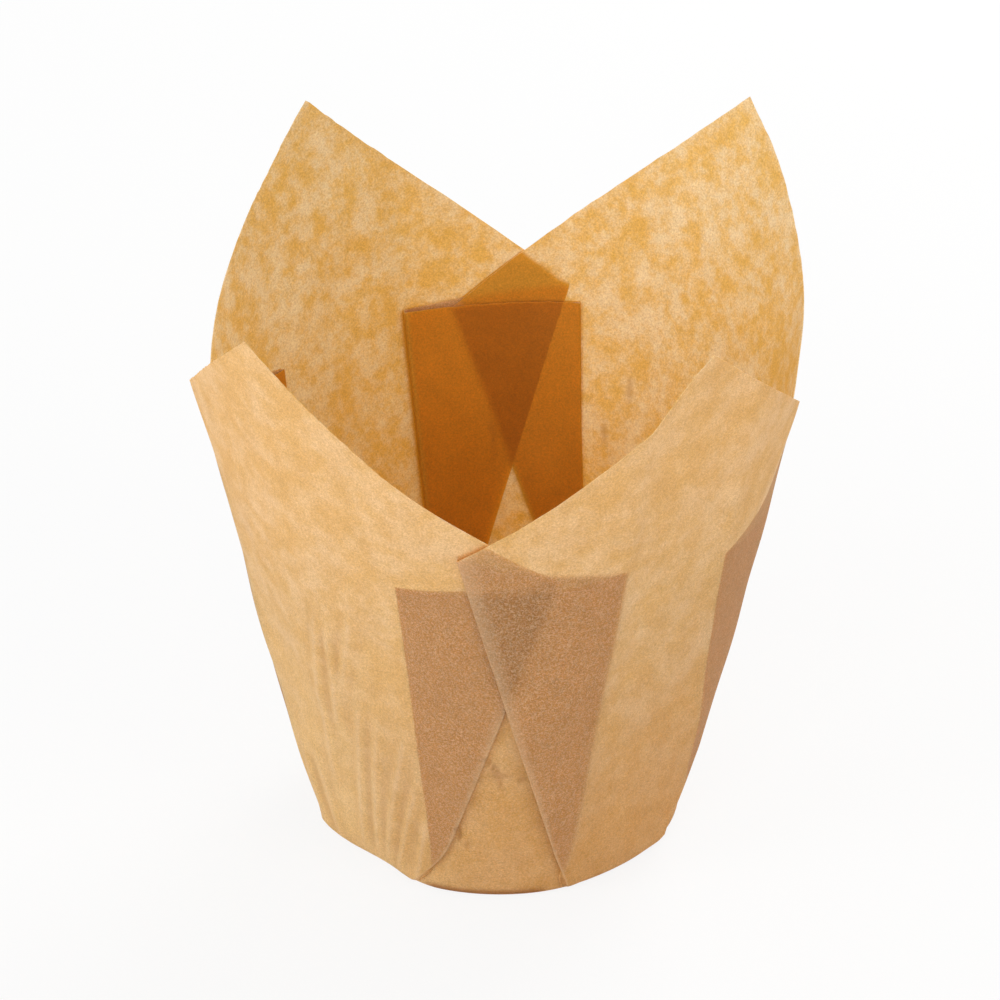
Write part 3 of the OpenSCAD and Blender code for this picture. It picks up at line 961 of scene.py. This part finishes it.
def paper_material(finish):
    paper = bpy.data.materials.new("baking_paper")
    sh = Shader(paper)
    layers, crossed = paper_layers(sh)
    single = 1 - layers.smooth(*SINGLE_FROM)
    # the colours by layers are painted light, shade outside and a glow of light from behind inside; where
    # two petals cross, the outside's painted shade is a little lighter
    outside = sh.ramp(layers - crossed * CROSSED_SHARE, OUTSIDE_SHADE_BY_LAYERS)
    inside = sh.ramp(layers, INSIDE_GLOW_BY_LAYERS)

    place = sh.node("ShaderNodeTexCoord").outputs["Object"]
    blotches = sh.noise(place, finish.blotch_size, detail=2, roughness=0.5)
    clouds = sh.noise(place, finish.cloud_size, detail=6, roughness=0.68)
    grain = sh.noise(place, finish.grain_size, detail=2, roughness=0.7)
    stretch = (1, 1, finish.fibre_length / finish.fibre_width)
    lying = [sh.turned(place, turn, stretch) for turn in FIBRE_TURNS]
    fibres = [sh.noise(way, finish.fibre_width, detail=1, roughness=0.5) for way in lying]
    fibres = [noise.smooth(*FIBRE_FROM) for noise in fibres]
    fibre = fibres[0].most(fibres[1]).most(fibres[2]).most(fibres[3])

    cream = (clouds * 0.7 + blotches * 0.3).smooth(*CREAM_FROM)
    inside = sh.mixed(cream * single * CREAM_SHARE, inside, CREAM)
    mottle = (clouds * 0.5 + blotches * 0.5).smooth(*MOTTLE_FROM)
    outside = sh.mixed(mottle * single * PALE_SHARE, outside, PALE_AND_RIDGE_HIGHLIGHT)
    # painted shade low down at the front and at the right, darker and warmer where less light falls, and
    # painted light low down at the left, where the light falls
    parts = sh.node("ShaderNodeSeparateXYZ", inputs={0: place}).outputs
    across, depth, up = (Value(sh, part) for part in parts)
    low = up.smooth(*LOW_FROM) * single
    right = (across - depth * RIGHT_SLOPE).smooth(*RIGHT_FROM)
    outside = sh.mixed(low * right * LOW_PAINTED_SHARE, outside, LOW_PAINTED_SHADE)
    outside = sh.mixed(low * (1 - right) * LOW_PAINTED_SHARE, outside, LOW_PAINTED_LIGHT)
    outside = sh.mixed(fibre * (FIBRE_SHARE - single * FIBRE_SINGLE_LESS), outside, FIBRE_AND_CREST_HIGHLIGHT)
    inside = sh.mixed(fibre * single * FIBRE_INSIDE, inside, FIBRE_AND_CREST_HIGHLIGHT)
    # the inner side takes the colours painted as a glow of light from behind, the outer side those painted
    # as shade
    colour = sh.mixed(sh.attribute("inside").smooth(0.4, 0.6), outside, inside)
    tone = 1 + (grain - 0.5) * GRAIN_TONE + (clouds - 0.5) * CLOUD_TONE
    colour = sh.mixed(1.0, colour, tone, "MULTIPLY")
    # a painted highlight along the fold crests, in the fibres' pale colour
    colour = sh.mixed(sh.attribute("crest") * CREST_HIGHLIGHT_SHARE, colour, FIBRE_AND_CREST_HIGHLIGHT)
    marks = sh.attribute("marks")
    # a painted highlight on the ridges, in the pale colour
    colour = sh.mixed(marks.smooth(0.0, 1.0) * RIDGE_HIGHLIGHT_SHARE, colour, PALE_AND_RIDGE_HIGHLIGHT)
    # painted shade in the creases and painted shadow along the base's edge under the front pleat
    dark = (marks.smooth(0.0, -0.8) * CREASE_SHADE_SHARE).most(sh.attribute("rim") * RIM_SHADOW_SHARE)
    colour = sh.mixed(dark, colour, CREASE_AND_RIM_SHADE)

    height = grain * GRAIN_HEIGHT + fibre * FIBRE_HEIGHT + clouds * CLOUD_HEIGHT
    inputs = {"Strength": BUMP_STRENGTH, "Distance": BUMP_DEPTH, "Height": height}
    bump = sh.node("ShaderNodeBump", inputs=inputs).outputs[0]
    inputs = {
        "Base Color": colour,
        "Roughness": finish.roughness,
        "Normal": bump,
        "Specular IOR Level": 0.3,
    }
    front = sh.node("ShaderNodeBsdfPrincipled", inputs=inputs).outputs[0]
    inputs = {"Color": THROUGH, "Normal": bump}
    through = sh.node("ShaderNodeBsdfTranslucent", inputs=inputs).outputs[0]
    inputs = {0: finish.translucence, 1: front, 2: through}
    both = sh.node("ShaderNodeMixShader", inputs=inputs).outputs[0]
    sh.node("ShaderNodeOutputMaterial", inputs={"Surface": both})
    return paper


class LINER_OT_finish(bpy.types.Operator):
    """Give the paper its colour, clouds and grain"""

    bl_idname = "liner.finish"
    bl_label = "Finish the Paper"

    def execute(self, context):
        sheet = bpy.data.objects["liner_paper"]
        sheet.data.materials.clear()
        sheet.data.materials.append(paper_material(context.scene.liner_finish))
        return {"FINISHED"}


# Each lamp's name, place, diameter, power in watts and colour, and the point that all of them face
LAMPS = (
    ("key_light", (-0.6, -0.42, 0.42), 0.35, 1.6, (0.91, 0.97, 1)),
    ("low_light", (-0.6, -0.3, 0.05), 0.3, 0.7, (1, 1, 1)),
    ("front_light", (-0.1, -0.7, 0.56), 0.4, 1.2, (1, 1, 1)),
    ("fill_light", (0.52, -0.4, 0.5), 0.4, 1.2, (1, 0.9, 0.74)),
    ("back_light", (0.28, 0.58, 0.38), 0.5, 3.3, (1, 1, 1)),
)
LAMP_AIM = Vector((0, 0, 0.045))
FLOOR_SIZE, FLOOR_GREY, WORLD_STRENGTH = 6, 0.82, 0.52
# How far the floor is plain white: for light on the object, and more for what the camera sees
FLOOR_WHITE, FLOOR_WHITE_SEEN = 0.14, 0.71
WHITE = (1, 1, 1, 1)

# The photograph's camera: elevation and turn in degrees, the point it turns round and its distance
# from it, the focal length in picture widths, and the middle of its view in shares of the picture
ELEVATION, AZIMUTH = 32.62, 3.81
VIEW_MIDDLE, VIEW_DISTANCE = Vector((0, 0, 0.042)), 1.04353
FOCAL, MIDDLE_ACROSS, MIDDLE_DOWN = 7.4934, 0.49934, 0.5451
SENSOR = 36


def lamp(name, place, size, watts, colour):
    light = bpy.data.lights.new(name, "AREA")
    light.shape, light.size, light.energy, light.color = "DISK", size, watts, colour
    o = bpy.data.objects.new(name, light)
    bpy.context.scene.collection.objects.link(o)
    o.location = place
    o.rotation_euler = (LAMP_AIM - Vector(place)).to_track_quat("-Z", "Y").to_euler()


def camera():
    """The camera where the photograph was taken from."""
    elevation, azimuth = math.radians(ELEVATION), math.radians(AZIMUTH)
    level = math.cos(elevation)
    back = Vector((math.sin(azimuth) * level, -math.cos(azimuth) * level, math.sin(elevation)))
    right = Vector((math.cos(azimuth), math.sin(azimuth), 0))
    up = back.cross(right)
    aim = -back + right * (0.5 - MIDDLE_ACROSS) / FOCAL + up * (MIDDLE_DOWN - 0.5) / FOCAL
    data = bpy.data.cameras.new("camera")
    data.sensor_width, data.lens = SENSOR, SENSOR * FOCAL
    data.clip_start, data.clip_end = 0.05, 20
    o = bpy.data.objects.new("camera", data)
    bpy.context.scene.collection.objects.link(o)
    o.location = VIEW_MIDDLE + back * VIEW_DISTANCE
    o.rotation_euler = aim.to_track_quat("-Z", "Y").to_euler()
    bpy.context.scene.camera = o


def rays_of(sh, *kinds):
    """1 for rays of these kinds and 0 for all others."""
    rays = sh.node("ShaderNodeLightPath")
    seen = Value(sh, rays.outputs[kinds[0]])
    for kind in kinds[1:]:
        seen = seen.most(Value(sh, rays.outputs[kind]))
    return seen


class LINER_OT_stage(bpy.types.Operator):
    """Add the floor, the lights and the camera"""

    bl_idname = "liner.stage"
    bl_label = "Set the Stage"

    def execute(self, context):
        deselect()
        bpy.ops.mesh.primitive_plane_add(size=FLOOR_SIZE)
        floor = context.active_object
        floor.name = "floor"
        material = bpy.data.materials.new("pale_floor")
        sh = Shader(material)
        seen = rays_of(sh, "Is Camera Ray", "Is Glossy Ray")
        grey = (FLOOR_GREY, FLOOR_GREY, FLOOR_GREY, 1)
        matt = sh.node("ShaderNodeBsdfDiffuse", inputs={"Color": grey}).outputs[0]
        white = sh.node("ShaderNodeEmission", inputs={"Color": WHITE, "Strength": 1.0}).outputs[0]
        inputs = {0: FLOOR_WHITE + seen * FLOOR_WHITE_SEEN, 1: matt, 2: white}
        both = sh.node("ShaderNodeMixShader", inputs=inputs).outputs[0]
        sh.node("ShaderNodeOutputMaterial", inputs={"Surface": both})
        floor.data.materials.append(material)

        world = bpy.data.worlds.new("studio")
        context.scene.world = world
        sh = Shader(world)
        seen = rays_of(sh, "Is Camera Ray", "Is Glossy Ray", "Is Transmission Ray")
        dim, white = (
            sh.node("ShaderNodeBackground", inputs={"Color": WHITE, "Strength": strength}).outputs[0]
            for strength in (WORLD_STRENGTH, 1.0)
        )
        both = sh.node("ShaderNodeMixShader", inputs={0: seen, 1: dim, 2: white}).outputs[0]
        sh.node("ShaderNodeOutputWorld", inputs={"Surface": both})

        for name, place, size, watts, colour in LAMPS:
            lamp(name, place, size, watts, colour)
        camera()
        context.scene.view_settings.view_transform = "Standard"
        return {"FINISHED"}


class LINER_PT_panel(bpy.types.Panel):
    """The liner's sizes, finish and steps"""

    bl_idname = "LINER_PT_panel"
    bl_label = "Liner"
    bl_space_type = "VIEW_3D"
    bl_region_type = "UI"
    bl_category = "Liner"

    def draw(self, context):
        for operator in (LINER_OT_fold, LINER_OT_finish, LINER_OT_stage):
            self.layout.operator(operator.bl_idname)
        for group in (context.scene.liner_sizes, context.scene.liner_finish):
            for name in group.__annotations__:
                self.layout.prop(group, name)


CLASSES = (LinerSizes, LinerFinish, LINER_OT_fold, LINER_OT_finish, LINER_OT_stage, LINER_PT_panel)


def register():
    for c in CLASSES:
        bpy.utils.register_class(c)
    bpy.types.Scene.liner_sizes = bpy.props.PointerProperty(type=LinerSizes)
    bpy.types.Scene.liner_finish = bpy.props.PointerProperty(type=LinerFinish)


def unregister():
    del bpy.types.Scene.liner_finish
    del bpy.types.Scene.liner_sizes
    for c in reversed(CLASSES):
        bpy.utils.unregister_class(c)


def main():
    register()
    bpy.ops.liner.fold()
    bpy.ops.liner.finish()
    bpy.ops.liner.stage()


if __name__ == "__main__":
    main()
